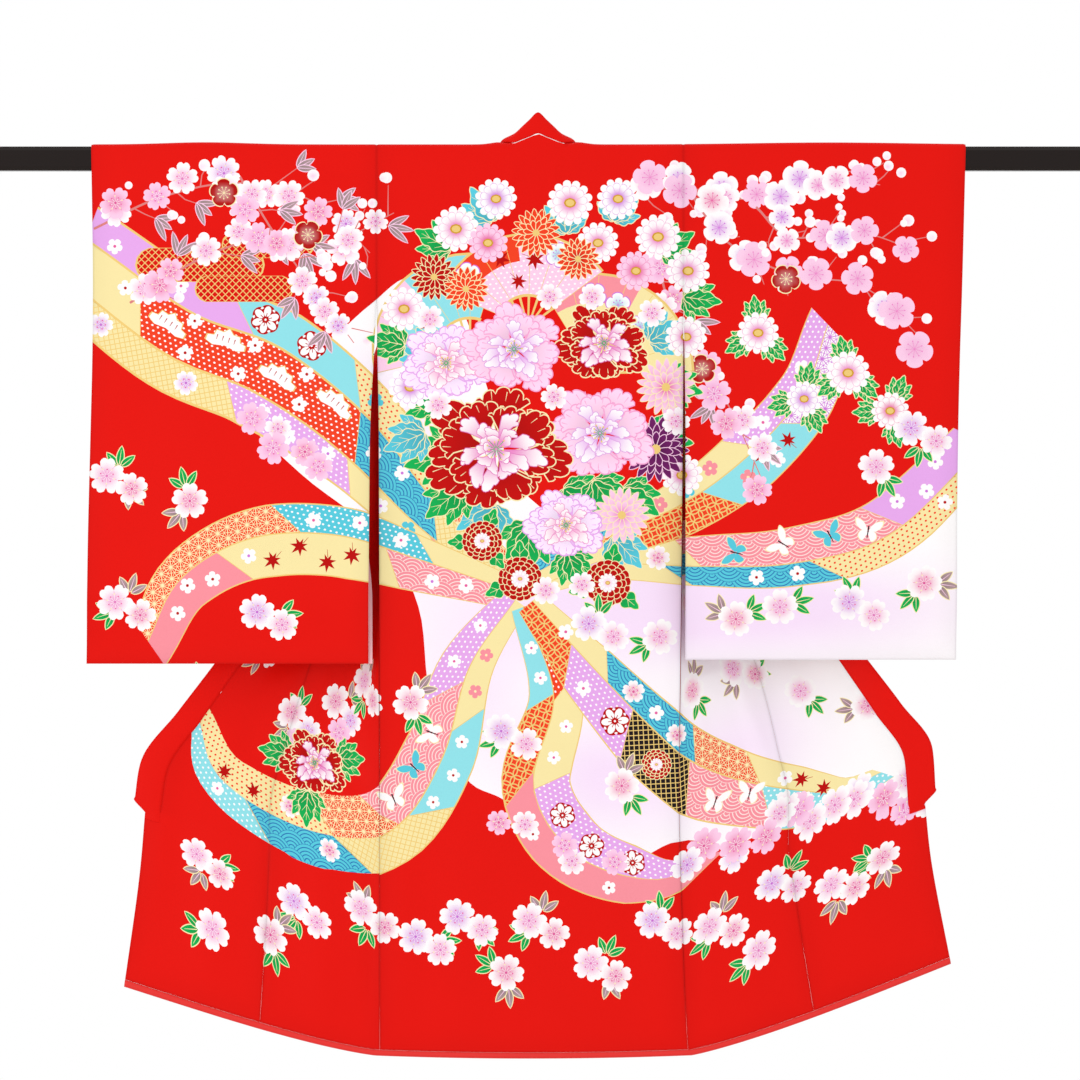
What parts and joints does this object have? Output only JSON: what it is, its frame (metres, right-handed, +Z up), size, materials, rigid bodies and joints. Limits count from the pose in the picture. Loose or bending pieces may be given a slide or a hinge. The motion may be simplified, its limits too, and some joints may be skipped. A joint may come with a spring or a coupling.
{
  "type": "baby ceremonial kimono on a hanging rod",
  "caption": "Baby's lined silk ceremonial kimono hung through its sleeves on a lacquered rod, back to the viewer, with both fronts drawn out to the sides like a fan.",
  "frame": {"origin": "the middle of the rod, where the display stand holds it", "axes": "+X along the rod to the viewer's right, +Y away from the viewer of the garment's back, +Z up"},
  "size_m": [1.2, 0.0707, 0.9491],
  "materials": {
    "printed_silk": "figured silk crepe with a dyed flower print, soft satin sheen",
    "pink_lining": "thin plain silk lining",
    "red_lining": "thin plain silk lining, rolled over the hem",
    "lacquered_wood": "black lacquer, gloss"
  },
  "bodies": {
    "root": {"rod": "lacquered_wood", "back": "printed_silk", "front_left": "printed_silk", "front_right": "printed_silk", "okumi_left": "printed_silk", "okumi_right": "printed_silk", "collar": "printed_silk", "sleeve_left": "printed_silk", "sleeve_right": "printed_silk", "hem_roll": "red_lining"}
  },
  "joints": []
}
